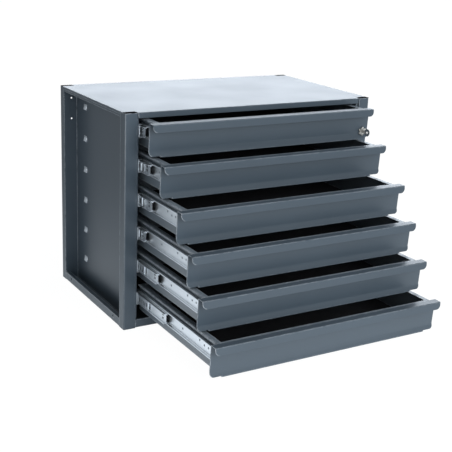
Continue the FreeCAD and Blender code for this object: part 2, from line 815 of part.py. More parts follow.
def cut_for_lock(front, tray, mat):
    """Hole in the top drawer's panel, and room in its tray and mat for the lock and its cam."""
    hole = new_sketch(front, "XZ_Plane")
    circle(hole, (lock_x, lock_z), size.lock_radius + size.lock_hole_gap)
    pocket_depth(front, hole, 4 * size.crease_depth, both_ways=True)
    reach = size.lock_radius + size.lock_notch_gap
    low = (lock_x - reach, lock_z - 2 * reach)
    depth = cam_back + size.plug_stub_length + size.lock_notch_gap
    for body in (tray, mat):
        notch = new_sketch(body, "XZ_Plane")
        rectangle(notch, low, (lock_x + reach, lock_z + reach))
        pocket_depth(body, notch, depth)


def build_lock():
    """The lock and its key, at the place of the top drawer."""
    bodies = [lock_housing(), lock_plug(), lock_cam(), cam_nut(), key()]
    for body in bodies:
        place(body, y=-size.drawer_1_open, z=drawer_top(1))
    return bodies


def build_drawer(number):
    """All the pieces of one drawer, at the place where it stands open."""
    top = drawer_top(number)
    drawer_open = getattr(size, f"drawer_{number}_open")
    middle_open = getattr(size, f"middle_{number}_open")
    drawer_parts = [drawer_front(number), drawer_tray(number), drawer_mat(number)]
    if number == 1:
        cut_for_lock(*drawer_parts)
    drawer_parts.append(drawer_slide_members(number))
    for body in drawer_parts:
        place(body, y=-drawer_open, z=top)
    middle_parts = [middle_slide_members(number), ball_cages(number)]
    for body in middle_parts:
        place(body, y=-middle_open, z=top)
    return drawer_parts + middle_parts


# ---- write every piece ----

def check(item):
    if "Invalid" in item.State or "Error" in item.State:
        raise ValueError(f"{item.Label} did not build")


def write(bodies):
    doc.recompute()
    for item in doc.Objects:
        check(item)
    os.makedirs("parts", exist_ok=True)
    for body in bodies:
        shape = body.Shape
        if shape.isNull() or not shape.isValid():
            raise ValueError(f"{body.Label} has no valid shape")
        shape.exportStep(f"parts/{body.Label}.step")


pieces = [side_frame("side_frame_left", -1), side_frame("side_frame_right", 1)]
pieces += [top_panel(), back_panel(), side_top_rails(), side_bottom_rails(), front_bottom_rail()]
pieces += [rear_bottom_rail(), post_caps(), cabinet_slide_members()]
for piece in pieces:
    place(piece)
for drawer_number in DRAWERS:
    pieces += build_drawer(drawer_number)
pieces += build_lock()
write(pieces)
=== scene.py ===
import json
import math

import bmesh
import bpy
from mathutils import Matrix, Vector


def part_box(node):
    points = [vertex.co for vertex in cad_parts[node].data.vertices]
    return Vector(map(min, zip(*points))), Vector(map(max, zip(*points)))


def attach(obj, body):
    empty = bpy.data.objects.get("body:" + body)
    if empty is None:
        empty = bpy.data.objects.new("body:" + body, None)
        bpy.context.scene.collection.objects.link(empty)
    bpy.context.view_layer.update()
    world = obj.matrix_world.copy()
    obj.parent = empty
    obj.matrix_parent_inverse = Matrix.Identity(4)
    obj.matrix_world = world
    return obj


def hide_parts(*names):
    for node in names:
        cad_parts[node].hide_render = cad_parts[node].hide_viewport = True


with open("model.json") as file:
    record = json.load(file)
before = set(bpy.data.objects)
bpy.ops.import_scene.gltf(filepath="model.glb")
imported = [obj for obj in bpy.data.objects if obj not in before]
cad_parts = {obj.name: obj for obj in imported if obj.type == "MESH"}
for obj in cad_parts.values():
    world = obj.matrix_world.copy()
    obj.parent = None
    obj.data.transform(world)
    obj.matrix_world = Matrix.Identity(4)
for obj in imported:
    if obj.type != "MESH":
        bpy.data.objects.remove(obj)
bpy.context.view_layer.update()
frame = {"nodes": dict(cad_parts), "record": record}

# Lengths are in metres, so those written in millimetres are multiplied by MM.
# X runs across to the right, Y from the front to the back and Z up.
MM = 0.001
DRAWERS = range(1, 7)
SIDES = (-1, 1)                 # left and right, or below and above

nodes = frame["nodes"]
slot_of = {part["node"]: part["material_slot"] for part in frame["record"]["subparts"]}
body_of = {
    node: body for body, members in frame["record"]["behaviour"]["bodies"].items() for node in members
}


# ---- node trees ----

class Tree:
    """Short calls that add nodes to a tree and link them."""

    def __init__(self, tree):
        self.tree = tree

    def add(self, kind, inputs=None, **settings):
        node = self.tree.nodes.new(kind)
        for name, value in settings.items():
            setattr(node, name, value)
        for name, value in (inputs or {}).items():
            self.feed(node.inputs[name], value)
        return node

    def feed(self, socket, value):
        """Links another socket, or sets a constant."""
        if isinstance(value, bpy.types.NodeSocket):
            self.tree.links.new(value, socket)
        else:
            socket.default_value = value

    def math(self, operation, first, second=0.0, clamp=False):
        node = self.add("ShaderNodeMath", operation=operation, use_clamp=clamp)
        self.feed(node.inputs[0], first)
        self.feed(node.inputs[1], second)
        return node.outputs[0]

    def vector(self, operation, first, second, output="Vector"):
        """A vector operation; one that measures, such as a distance, puts out a Value."""
        node = self.add("ShaderNodeVectorMath", operation=operation)
        self.feed(node.inputs[0], first)
        self.feed(node.inputs[1], second)
        return node.outputs[output]

    def noise(self, place, scale, detail, roughness=0.5):
        values = {"Vector": place, "Scale": scale, "Detail": detail, "Roughness": roughness}
        return self.add("ShaderNodeTexNoise", values).outputs["Fac"]

    def remap(self, value, low, high, to_low=0.0, to_high=1.0):
        ranges = {"Value": value, "From Min": low, "From Max": high, "To Min": to_low, "To Max": to_high}
        return self.add("ShaderNodeMapRange", ranges).outputs["Result"]

    def mix(self, factor, first, second):
        """A blend of two colours."""
        node = self.add("ShaderNodeMix", data_type="RGBA")
        for name, value in zip(("Factor_Float", "A_Color", "B_Color"), (factor, first, second)):
            self.feed(next(item for item in node.inputs if item.identifier == name), value)
        return next(item for item in node.outputs if item.identifier == "Result_Color")


# ---- effects that several materials share ----

NOISE_MIDDLE = (0.3, 0.7)       # most of a noise's values lie between these
NOISE_REACH = (0.2, 0.8)        # and nearly all of them between these


def shader_group(name, inputs, outputs):
    """An empty shader group with named sockets; returns its tree, input sockets and output node."""
    tree = bpy.data.node_groups.new(name, "ShaderNodeTree")
    kinds = {"value": "NodeSocketFloat", "vector": "NodeSocketVector"}
    for label, (kind, value) in inputs.items():
        socket = tree.interface.new_socket(label, in_out="INPUT", socket_type=kinds[kind])
        socket.default_value = value
    for label, kind in outputs.items():
        tree.interface.new_socket(label, in_out="OUTPUT", socket_type=kinds[kind])
    builder = Tree(tree)
    return builder, builder.add("NodeGroupInput").outputs, builder.add("NodeGroupOutput")


def grain_group():
    """Fine pebbled grain: a height for bumps and a tone for colour and gloss."""
    sockets = {"Scale": ("value", 900.0), "Stretch": ("vector", (1.0, 1.0, 1.0))}
    tree, given, result = shader_group("Surface grain", sockets, {"Height": "value", "Tone": "value"})
    place = tree.add("ShaderNodeTexCoord").outputs["Object"]
    stretched = tree.vector("MULTIPLY", place, given["Stretch"])
    fine = tree.noise(stretched, given["Scale"], detail=3.0, roughness=0.55)
    broad = tree.noise(place, scale=7.0, detail=2.0)
    tree.feed(result.inputs["Height"], fine)
    tree.feed(result.inputs["Tone"], broad)
    return tree.tree


def edge_highlight_group():
    """A mask of painted highlight along the upper edges and the left ones, where light catches them, broken
    up a little.
    """
    flat_agrees, fold_agrees = 0.995, 0.85      # how well the softened normal agrees with the face's
    turned_away, turned_to_light = 0.05, 0.3                 # how far it turns up or to the left, towards the light
    bare, coated = 0.3, 0.5                     # the noise that breaks the painted highlight up
    sockets = {"Width": ("value", 0.0008), "Amount": ("value", 0.5)}
    tree, given, result = shader_group("Painted edge highlight", sockets, {"Mask": "value"})
    softened_normal = tree.add("ShaderNodeBevel", {"Radius": given["Width"]}, samples=4).outputs["Normal"]
    face_normal = tree.add("ShaderNodeNewGeometry").outputs["Normal"]
    agrees = tree.vector("DOT_PRODUCT", softened_normal, face_normal, "Value")
    folded = tree.remap(agrees, flat_agrees, fold_agrees)
    turned = tree.add("ShaderNodeSeparateXYZ", {"Vector": softened_normal}).outputs
    up_or_left = tree.math("MAXIMUM", turned["Z"], tree.math("MULTIPLY", turned["X"], -1.0))
    folded = tree.math("MULTIPLY", folded, tree.remap(up_or_left, turned_away, turned_to_light))
    place = tree.add("ShaderNodeTexCoord").outputs["Object"]
    broken = tree.remap(tree.noise(place, scale=60.0, detail=4.0), bare, coated)
    mask = tree.math("MULTIPLY", folded, broken)
    tree.feed(result.inputs["Mask"], tree.math("MULTIPLY", mask, given["Amount"], clamp=True))
    return tree.tree


def dust_group():
    """A thin uneven film on the faces that look up."""
    sloping, level = 0.6, 1.0
    clean, dusty = 0.3, 0.75
    sockets = {"Amount": ("value", 0.1), "Scale": ("value", 25.0)}
    tree, given, result = shader_group("Settled dust", sockets, {"Mask": "value"})
    normal = tree.add("ShaderNodeNewGeometry").outputs["Normal"]
    upright = tree.add("ShaderNodeSeparateXYZ", {"Vector": normal}).outputs["Z"]
    facing = tree.remap(upright, sloping, level)
    place = tree.add("ShaderNodeTexCoord").outputs["Object"]
    film = tree.remap(tree.noise(place, given["Scale"], detail=5.0), clean, dusty)
    mask = tree.math("MULTIPLY", facing, film)
    tree.feed(result.inputs["Mask"], tree.math("MULTIPLY", mask, given["Amount"], clamp=True))
    return tree.tree


grain = grain_group()
# painted highlight along the edges that face up or to the left
edges = edge_highlight_group()
dust = dust_group()


# ---- materials ----

PALE_DUST, DARK_DUST = (0.55, 0.54, 0.52), (0.16, 0.16, 0.16)


def new_material(name):
    material = bpy.data.materials.new(name)
    material.use_nodes = True
    material.node_tree.nodes.clear()
    tree = Tree(material.node_tree)
    shader = tree.add("ShaderNodeBsdfPrincipled")
    output = tree.add("ShaderNodeOutputMaterial")
    tree.feed(output.inputs["Surface"], shader.outputs["BSDF"])
    return material, tree, shader


def use_group(tree, group, **values):
    node = tree.add("ShaderNodeGroup", node_tree=group)
    for name, value in values.items():
        tree.feed(node.inputs[name], value)
    return node.outputs


def tinted(colour, gain=1.0, lift=0.0):
    """A colour made darker or lighter, opaque, as a socket takes it."""
    return tuple(min(channel * gain + lift, 1.0) for channel in colour) + (1.0,)


def uneven_gloss(tree, shader, value, span, smoothest, roughest):
    tree.feed(shader.inputs["Roughness"], tree.remap(value, *span, smoothest, roughest))


def bump(tree, shader, height, distance, strength):
    node = tree.add("ShaderNodeBump", {"Height": height, "Distance": distance, "Strength": strength})
    tree.feed(shader.inputs["Normal"], node.outputs["Normal"])


def powder_coat(name, colour, roughness):
    """Stoved powder paint: pebbled, half glossy, a good deal lighter along its upper and left edges, a
    painted highlight.
    """
    material, tree, shader = new_material(name)
    surface = use_group(tree, grain, Scale=700.0)
    edge_highlight = use_group(tree, edges, Width=3.0 * MM, Amount=1.0)
    film = use_group(tree, dust, Amount=0.02)
    mottle = tree.remap(surface["Tone"], *NOISE_MIDDLE)
    base = tree.mix(mottle, tinted(colour, gain=0.96), tinted(colour, gain=1.04))
    # painted highlight: the upper and left edges much lighter, as if light caught them
    base = tree.mix(edge_highlight["Mask"], base, tinted(colour, gain=1.5, lift=0.42))
    base = tree.mix(film["Mask"], base, tinted(PALE_DUST))
    tree.feed(shader.inputs["Base Color"], base)
    uneven_gloss(tree, shader, surface["Tone"], NOISE_REACH, roughness - 0.03, roughness + 0.04)
    shader.inputs["IOR"].default_value = 1.5
    bump(tree, shader, surface["Height"], distance=0.04 * MM, strength=0.3)
    return material


def plated_steel(name, colour, roughness, stretch=(1.0, 0.06, 1.0), scale=1400.0):
    """Rolled and plated steel, with faint lines along the way it was rolled."""
    material, tree, shader = new_material(name)
    surface = use_group(tree, grain, Scale=scale, Stretch=stretch)
    mottle = tree.remap(surface["Tone"], *NOISE_MIDDLE)
    tree.feed(shader.inputs["Base Color"], tree.mix(mottle, tinted(colour, gain=0.94), tinted(colour)))
    uneven_gloss(tree, shader, surface["Height"], NOISE_MIDDLE, roughness - 0.05, roughness + 0.05)
    shader.inputs["Metallic"].default_value = 1.0
    bump(tree, shader, surface["Height"], distance=0.02 * MM, strength=0.2)
    return material


def liner_rubber(name, colour):
    """Soft drawer liner, matt, with a little dust between its ribs."""
    material, tree, shader = new_material(name)
    surface = use_group(tree, grain, Scale=900.0)
    film = use_group(tree, dust, Amount=0.08, Scale=18.0)
    tree.feed(shader.inputs["Base Color"], tree.mix(film["Mask"], tinted(colour), tinted(DARK_DUST)))
    uneven_gloss(tree, shader, surface["Tone"], NOISE_REACH, smoothest=0.66, roughest=0.78)
    bump(tree, shader, surface["Height"], distance=0.06 * MM, strength=0.4)
    return material


def moulded_plastic(name, colour, roughness):
    """Matt black mouldings that mirror next to nothing."""
    material, tree, shader = new_material(name)
    surface = use_group(tree, grain, Scale=1100.0)
    lighter = tinted(colour, gain=1.3, lift=0.004)
    tree.feed(shader.inputs["Base Color"], tree.mix(surface["Tone"], tinted(colour), lighter))
    uneven_gloss(tree, shader, surface["Tone"], NOISE_REACH, roughness - 0.04, roughness + 0.06)
    shader.inputs["IOR"].default_value = 1.03
    shader.inputs["Specular IOR Level"].default_value = 0.05
    bump(tree, shader, surface["Height"], distance=0.05 * MM, strength=0.3)
    return material


materials = {
    "paint": powder_coat("Graphite powder coat", (0.060, 0.080, 0.100), roughness=0.36),
    # painted light: the trays take a lighter copy of the graphite coat, standing in for the light that falls
    # on them
    "tray": powder_coat("Graphite powder coat lightened for the trays", (0.150, 0.175, 0.200), roughness=0.34),
    "zinc": plated_steel("Bright zinc", (0.64, 0.67, 0.70), roughness=0.36),
    "cage": plated_steel("Cage steel", (0.62, 0.64, 0.64), roughness=0.32),
    "mat": liner_rubber("Ribbed liner", (0.012, 0.012, 0.014)),
    "plastic": moulded_plastic("Black plastic", (0.008, 0.008, 0.009), roughness=0.9),
    "chrome": plated_steel(
        "Chrome", (0.58, 0.56, 0.52), roughness=0.22, stretch=(1.0, 1.0, 1.0), scale=300.0),
    "key": plated_steel("Nickel key", (0.62, 0.60, 0.57), roughness=0.25),
}


# ---- meshes ----

SHARP_ANGLE = 28                # degrees between two faces, past which their edge stays sharp
ROUGHLY_FLAT = 0.6              # degrees between two triangles, below which they are one face
SAME_SPOT = 0.001 * MM          # corners closer than this are one corner


def finished_mesh(work, name):
    """The mesh that was worked on, and the end of the work."""
    mesh = bpy.data.meshes.new(name)
    work.to_mesh(mesh)
    work.free()
    return mesh


def cleaned_mesh(node):
    """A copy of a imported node's mesh with its triangles joined into whole faces."""
    work = bmesh.new()
    work.from_mesh(nodes[node].data)
    bmesh.ops.remove_doubles(work, verts=work.verts, dist=SAME_SPOT)
    flat = math.radians(ROUGHLY_FLAT)
    bmesh.ops.dissolve_limit(work, angle_limit=flat, verts=work.verts, edges=work.edges)
    return finished_mesh(work, f"{node}_edges_softened")


def joined(meshes):
    """Several meshes as one."""
    together = bmesh.new()
    for mesh in meshes:
        together.from_mesh(mesh)
    return finished_mesh(together, "joined")


def block_mesh(first, second):
    """A block between two corners, to cut with or to bevel."""
    block = bmesh.new()
    bmesh.ops.create_cube(block, size=1.0)
    size = Vector(abs(one - two) for one, two in zip(first, second))
    bmesh.ops.scale(block, vec=size, verts=block.verts)
    bmesh.ops.translate(block, vec=(Vector(first) + Vector(second)) / 2, verts=block.verts)
    return finished_mesh(block, "block")


def rod_mesh(centre, radius, length, faces=20):
    """A round bar from side to side, about a centre."""
    rod = bmesh.new()
    bmesh.ops.create_cone(
        rod, cap_ends=True, segments=faces, radius1=radius, radius2=radius, depth=length)
    across = Matrix.Rotation(math.radians(90), 4, "Y")
    bmesh.ops.transform(rod, matrix=Matrix.Translation(centre) @ across, verts=rod.verts)
    return finished_mesh(rod, "rod")


def rounded_path(points, steps=4):
    """The path with each corner (across, up, radius) turned into a short arc."""
    spots = [Vector(point[:2]) for point in points]
    path = [spots[0]]
    for before, spot, after, point in zip(spots, spots[1:], spots[2:], points[1:]):
        radius = point[2]
        one, two = (before - spot).normalized(), (after - spot).normalized()
        half = one.angle(two) / 2
        first = spot + one * radius / math.tan(half)
        last = spot + two * radius / math.tan(half)
        centre = spot + (one + two).normalized() * radius / math.sin(half)
        for step in range(steps + 1):
            between = first.lerp(last, step / steps) - centre
            path.append(centre + between.normalized() * radius)
    path.append(spots[-1])
    return path


def sheet_outline(path, thickness):
    """Closed outline of a sheet whose middle follows the path."""
    left, right = [], []
    for index, spot in enumerate(path):
        steps = []
        if index > 0:
            steps.append((spot - path[index - 1]).normalized())
        if index < len(path) - 1:
            steps.append((path[index + 1] - spot).normalized())
        along = sum(steps, Vector((0, 0))).normalized()
        side = Vector((-along.y, along.x)) * thickness / 2
        left.append(spot + side)
        right.append(spot - side)
    return left + right[::-1]


def both_sides(path, sheet, web, height, outward=1):
    """A folded sheet's outlines on the left and the right, from a web that its arms leave outward."""
    outline = sheet_outline(rounded_path(path), sheet)
    return [
        [Vector((side * (web + outward * spot.x), spot.y + height)) for spot in outline]
        for side in SIDES
    ]


def swept(outlines, front, back):
    """One mesh of closed outlines (across, up), each swept from front to back with closed ends."""
    made = bmesh.new()
    for outline in outlines:
        rows = [[made.verts.new((spot.x, place, spot.y)) for spot in outline] for place in (front, back)]
        count = len(outline)
        for index in range(count):
            after = (index + 1) % count
            made.faces.new((rows[0][index], rows[0][after], rows[1][after], rows[1][index]))
        made.faces.new(rows[0][::-1])
        made.faces.new(rows[1])
    bmesh.ops.recalc_face_normals(made, faces=made.faces)
    return finished_mesh(made, "swept")


def with_modifiers(mesh, add_modifiers):
    """The mesh after modifiers, as a plain mesh."""
    holder = bpy.data.objects.new("being_shaped", mesh)
    bpy.context.scene.collection.objects.link(holder)
    add_modifiers(holder)
    graph = bpy.context.evaluated_depsgraph_get()
    shaped = bpy.data.meshes.new_from_object(holder.evaluated_get(graph), depsgraph=graph)
    bpy.data.objects.remove(holder)
    return shaped


def cut(mesh, cutters):
    """The mesh with holes where the cutters stand."""
    tool = bpy.data.objects.new("cutter", joined(cutters))
    bpy.context.scene.collection.objects.link(tool)

    def holes(holder):
        hole = holder.modifiers.new("holes", "BOOLEAN")
        hole.operation = "DIFFERENCE"
        hole.solver = "EXACT"
        hole.object = tool
    shaped = with_modifiers(mesh, holes)
    bpy.data.objects.remove(tool)
    return shaped


def shade_smooth(mesh):
    for face in mesh.polygons:
        face.use_smooth = True


def smooth_folds(mesh, sharp_above=SHARP_ANGLE):
    """Smooth shading round the folds; the edges stay sharp."""
    shade_smooth(mesh)
    mesh.set_sharp_from_angle(angle=math.radians(sharp_above))


def bevelled(mesh, width):
    """The mesh with its sheet edges and corners slightly rounded."""
    shade_smooth(mesh)

    def soft_edges(holder):
        bevel = holder.modifiers.new("soft edges", "BEVEL")
        bevel.width = width
        bevel.segments = 2
        bevel.limit_method = "ANGLE"
        bevel.angle_limit = math.radians(SHARP_ANGLE)
        flat = holder.modifiers.new("flat faces stay flat", "WEIGHTED_NORMAL")
        flat.mode = "FACE_AREA"
        flat.weight = 100
    return with_modifiers(mesh, soft_edges)


# ---- pieces ----

def paint_node(node):
    mesh = nodes[node].data
    mesh.materials.clear()
    mesh.materials.append(materials[slot_of[node]])


def add_piece(name, mesh, body, slot, stands_for=()):
    """Links a finished mesh, gives it its material and declares what it rides on."""
    piece = bpy.data.objects.new(name, mesh)
    bpy.context.scene.collection.objects.link(piece)
    mesh.materials.clear()
    mesh.materials.append(materials[slot])
    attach(piece, body)
    if stands_for:
        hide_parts(*stands_for)


# ---- folded sheet pieces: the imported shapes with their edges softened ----

SOFT_EDGES = {
    "side_frame_left": 0.4 * MM, "side_frame_right": 0.4 * MM, "top_panel": 0.4 * MM,
    "front_bottom_rail": 0.4 * MM, "side_bottom_rails": 0.4 * MM, "side_top_rails": 0.3 * MM,
    "rear_bottom_rail": 0.3 * MM, "post_caps": 0.4 * MM, "cabinet_slide_members": 0.3 * MM,
    "back_panel": 0.4 * MM, "lock_housing": 0.3 * MM, "lock_plug": 0.3 * MM, "key": 0.3 * MM,
}
for number in DRAWERS:
    SOFT_EDGES[f"drawer_{number}_front"] = 0.5 * MM
    SOFT_EDGES[f"drawer_{number}_tray"] = 0.35 * MM

RIM_ROLL = 3.1 * MM                                 # radius of the fold along a tray's rims
ON_THE_RIM = 0.01 * MM                              # how near to the tray's top and side a rim's edge lies

CAP_DEPTH, CAP_TONGUE = 9.2 * MM, 6.5 * MM          # a post cap, and its tongue over the top sheet
POST_FACE = 32 * MM                                 # width of a post seen from the front
TONGUE_CLEARANCE, TONGUE_THICKNESS = 0.2 * MM, 1.1 * MM
TONGUE_BELOW_CAP = 0.02 * MM                        # so that the two faces don't lie in one plane
NOTCH_PAST, NOTCH_THROUGH = 1 * MM, 1.6 * MM        # a notch runs out through the sheet's edge and faces


def rounded_rim(mesh):
    """Rolls the outer top edge of a tray's rims."""
    tray = bmesh.new()
    tray.from_mesh(mesh)
    top = max(vertex.co.z for vertex in tray.verts)
    outer = max(vertex.co.x for vertex in tray.verts)
    rims = [
        edge for edge in tray.edges
        if all(top - vertex.co.z < ON_THE_RIM and outer - abs(vertex.co.x) < ON_THE_RIM
               for vertex in edge.verts)
    ]
    bmesh.ops.bevel(tray, geom=rims, offset=RIM_ROLL, segments=5, profile=0.5, affect="EDGES")
    tray.to_mesh(mesh)
    tray.free()


def tongue_blocks(past, above, below):
    """Blocks at the four corners of the top sheet, where the post caps reach over it."""
    low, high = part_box("post_caps")
    reach = CAP_DEPTH + CAP_TONGUE
    places = ((low.y + CAP_DEPTH, low.y + reach), (high.y - reach, high.y - CAP_DEPTH))
    outer, inner = high.x + past, high.x - POST_FACE + TONGUE_CLEARANCE
    return [
        block_mesh((side * outer, front, high.z + above), (side * inner, back, high.z - below))
        for side in SIDES for front, back in places
    ]


def softened(node, width):
    """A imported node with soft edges, rolled rims where it is a tray and notches where it is the top."""
    mesh = cleaned_mesh(node)
    if node.endswith("_tray"):
        rounded_rim(mesh)
    if node == "top_panel":
        mesh = cut(mesh, tongue_blocks(NOTCH_PAST, NOTCH_THROUGH, NOTCH_THROUGH))
    add_piece(f"{node}_finished", bevelled(mesh, width), body_of[node], slot_of[node], [node])


def cap_tongues():
    """The post caps' tongues, let into the notches of the top sheet."""
    tongues = joined(tongue_blocks(-TONGUE_CLEARANCE, -TONGUE_BELOW_CAP, TONGUE_THICKNESS))
    add_piece("cap_tongues", bevelled(tongues, width=0.1 * MM), "cabinet", "plastic")


# ---- telescopic slides ----

class Member:
    """Where a pair of slide members lies: front, back, middle height, height and outermost place."""

    def __init__(self, node):
        low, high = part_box(node)
        self.front, self.back = low.y, high.y
        self.centre, self.height = (low.z + high.z) / 2, high.z - low.z
        self.reach = high.x


CHANNEL_SHEET, CHANNEL_DEPTH = 1.6 * MM, 8.5 * MM
CHANNEL_LIP, LIP_FOLD, CHANNEL_FOLD = 1.6 * MM, 0.9 * MM, 3.0 * MM
SLIDE_HOLES = ((36, 2.0), (55, 0.9), (77, 5.0), (159, 0.3))     # mm behind the front, mm above the middle
HOLE_RADIUS, HOLE_THROUGH = 2.8 * MM, 8 * MM
# black discs just inside the holes: painted shade, standing in for the shade in them
SHADE_DISC_RADIUS, SHADE_DISC_THICKNESS, SHADE_DISC_BEHIND = 2.7 * MM, 0.5 * MM, 0.5 * MM


def drawer_slides(number):
    """The drawer's channels, with short inturned lips, round folds and small holes, darkened by black discs
    that stand in for the shade in them.
    """
    node, body = f"drawer_{number}_slides", f"drawer_{number}"
    slide = Member(node)
    web = slide.reach - CHANNEL_DEPTH
    middle = CHANNEL_SHEET / 2
    top, lip = slide.height / 2 - middle, CHANNEL_DEPTH - middle
    upper = [(lip, top - CHANNEL_LIP, 0), (lip, top, LIP_FOLD), (middle, top, CHANNEL_FOLD)]
    lower = [(across, -up, radius) for across, up, radius in upper[::-1]]
    channels = swept(both_sides(upper + lower, CHANNEL_SHEET, web, slide.centre), slide.front, slide.back)
    holes, hole_shades = [], []
    for distance, rise in SLIDE_HOLES:
        along, up = slide.front + distance * MM, slide.centre + rise * MM
        for side in SIDES:
            holes.append(rod_mesh((side * web, along, up), HOLE_RADIUS, HOLE_THROUGH))
            hole_shades.append(rod_mesh((side * (web - SHADE_DISC_BEHIND), along, up), SHADE_DISC_RADIUS, SHADE_DISC_THICKNESS))
    channels = cut(channels, holes)
    smooth_folds(channels)
    add_piece(f"{node}_folded", channels, body, "zinc", [node])
    add_piece(f"drawer_hole_shades_{number}", bevelled(joined(hole_shades), width=0.1 * MM), body, "plastic")


MIDDLE_SHEET, MIDDLE_DEPTH, MIDDLE_FOLD = 1.4 * MM, 7.35 * MM, 2.2 * MM
BARE_FRONT = 9 * MM                                     # the channels start behind their bumpers
WINDOWS_FROM_CHANNEL = 17 * MM                          # from the channels' fronts to the windows' middles
WINDOW_RISES = (5.5 * MM, -3.5 * MM)
WINDOW_HALF = Vector((5 * MM, 3.6 * MM, 2.4 * MM))
BUMPER_INSIDE, BUMPER_OUTSIDE = 1.6 * MM, 0.6 * MM      # from the web's place to either side
BUMPER_START, BUMPER_LAP, BUMPER_SHARE = 7 * MM, 0.5 * MM, 0.7
PAD_THICKNESS, PAD_HALF, PAD_BELOW, PAD_ABOVE = 1.2 * MM, 6 * MM, 7 * MM, 9 * MM


def middle_web(slide):
    """Where the webs of the middle members stand, and half the height between their folds."""
    return slide.reach - MIDDLE_DEPTH, (slide.height - MIDDLE_SHEET) / 2


def middle_slides(number):
    """Two channels back to back; each has a pair of small windows near its front."""
    node = f"middle_slides_{number}"
    slide = Member(node)
    web, half = middle_web(slide)
    middle = MIDDLE_SHEET / 2
    path = [(MIDDLE_DEPTH, half, 0), (middle, half, MIDDLE_FOLD),
            (middle, -half, MIDDLE_FOLD), (MIDDLE_DEPTH, -half, 0)]
    outlines = (both_sides(path, MIDDLE_SHEET, web, slide.centre)
                + both_sides(path, MIDDLE_SHEET, web, slide.centre, outward=-1))
    channel_front = slide.front + BARE_FRONT
    windows = []
    for side in SIDES:
        for rise in WINDOW_RISES:
            spot = Vector((side * web, channel_front + WINDOWS_FROM_CHANNEL, slide.centre + rise))
            windows.append(block_mesh(spot - WINDOW_HALF, spot + WINDOW_HALF))
    channels = cut(swept(outlines, channel_front, slide.back), windows)
    smooth_folds(channels)
    add_piece(f"{node}_folded", channels, f"middle_{number}", "zinc", [node])


def middle_bumpers(number):
    """Black bumpers before the webs of the middle members, and pads behind their windows."""
    slide = Member(f"middle_slides_{number}")
    web, half = middle_web(slide)
    channel_front = slide.front + BARE_FRONT
    window = channel_front + WINDOWS_FROM_CHANNEL
    rise, pad = half * BUMPER_SHARE, web - MIDDLE_SHEET / 2
    blocks = []
    for side in SIDES:
        blocks.append(block_mesh(
            (side * (web - BUMPER_INSIDE), slide.front + BUMPER_START, slide.centre - rise),
            (side * (web + BUMPER_OUTSIDE), channel_front + BUMPER_LAP, slide.centre + rise)))
        blocks.append(block_mesh(
            (side * pad, window - PAD_HALF, slide.centre - PAD_BELOW),
            (side * (pad - PAD_THICKNESS), window + PAD_HALF, slide.centre + PAD_ABOVE)))
    mesh = bevelled(joined(blocks), width=0.4 * MM)
    add_piece(f"middle_bumpers_{number}", mesh, f"middle_{number}", "plastic")


RETAINER_LENGTH, RETAINER_SHEET, RETAINER_FOLD = 72 * MM, 0.8 * MM, 1.5 * MM
RETAINER_SETBACK, RETAINER_INSET, RETAINER_BELOW, RETAINER_ARM = 20 * MM, 0.8 * MM, 2.4 * MM, 3.6 * MM
SLOT_COUNT, FIRST_SLOT, SLOT_PITCH = 5, 9 * MM, 13 * MM
SLOT_HALF = Vector((3 * MM, 4 * MM, 5.5 * MM))
BAR_INSIDE, BAR_OUTSIDE, BAR_HALF = 2.6 * MM, 0.4 * MM, 1.2 * MM


def retainers(number):
    """Steel ball retainers of the cabinet's side, half as far out as the middle member they ride on."""
    slide = Member(f"middle_slides_{number}")
    start = (slide.front + Member("cabinet_slide_members").front) / 2 + RETAINER_SETBACK
    plate, half = slide.reach - RETAINER_INSET, slide.height / 2 - RETAINER_BELOW
    path = [(-RETAINER_ARM, half, 0), (0, half, RETAINER_FOLD),
            (0, -half, RETAINER_FOLD), (-RETAINER_ARM, -half, 0)]
    slots, bars = [], []
    for side in SIDES:
        for step in range(SLOT_COUNT):
            spot = Vector((side * plate, start + FIRST_SLOT + SLOT_PITCH * step, slide.centre))
            slots.append(block_mesh(spot - SLOT_HALF, spot + SLOT_HALF))
        bar = block_mesh(
            (side * (plate - BAR_INSIDE), start - BAR_HALF, slide.centre - half),
            (side * (plate + BAR_OUTSIDE), start + BAR_HALF, slide.centre + half))
        bars.append(bevelled(bar, width=0.5 * MM))
    plates = swept(both_sides(path, RETAINER_SHEET, plate, slide.centre), start, start + RETAINER_LENGTH)
    mesh = joined([cut(plates, slots)] + bars)
    smooth_folds(mesh)
    add_piece(f"middle_retainers_{number}", mesh, f"middle_{number}", "zinc")


HOOK_FROM_FRONT, HOOK_FROM_BACK, HOOK_LENGTH = 45 * MM, 86 * MM, 17 * MM
HOOK_SECTION = ((-1.0, 3.0), (0.1, 3.0), (2.9, -7.5), (2.2, -8.6), (-1.0, -8.6))    # mm outward, mm up


def hook_plates():
    """The bent ends of the slides' hooks, which hang over the side walls' sheet and look up a little."""
    wall = Member("cabinet_slide_members").reach
    frame_low, frame_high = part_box("side_frame_left")
    hooks = []
    for number in DRAWERS:
        centre = Member(f"middle_slides_{number}").centre
        outlines = [
            [Vector((side * (wall + across * MM), centre + up * MM)) for across, up in HOOK_SECTION]
            for side in SIDES
        ]
        for place in (frame_low.y + HOOK_FROM_FRONT, frame_high.y - HOOK_FROM_BACK):
            hooks.append(swept(outlines, place - HOOK_LENGTH / 2, place + HOOK_LENGTH / 2))
    add_piece("hook_plates", bevelled(joined(hooks), width=0.3 * MM), "cabinet", "zinc")


# ---- balls and liner ribs, by geometry nodes ----

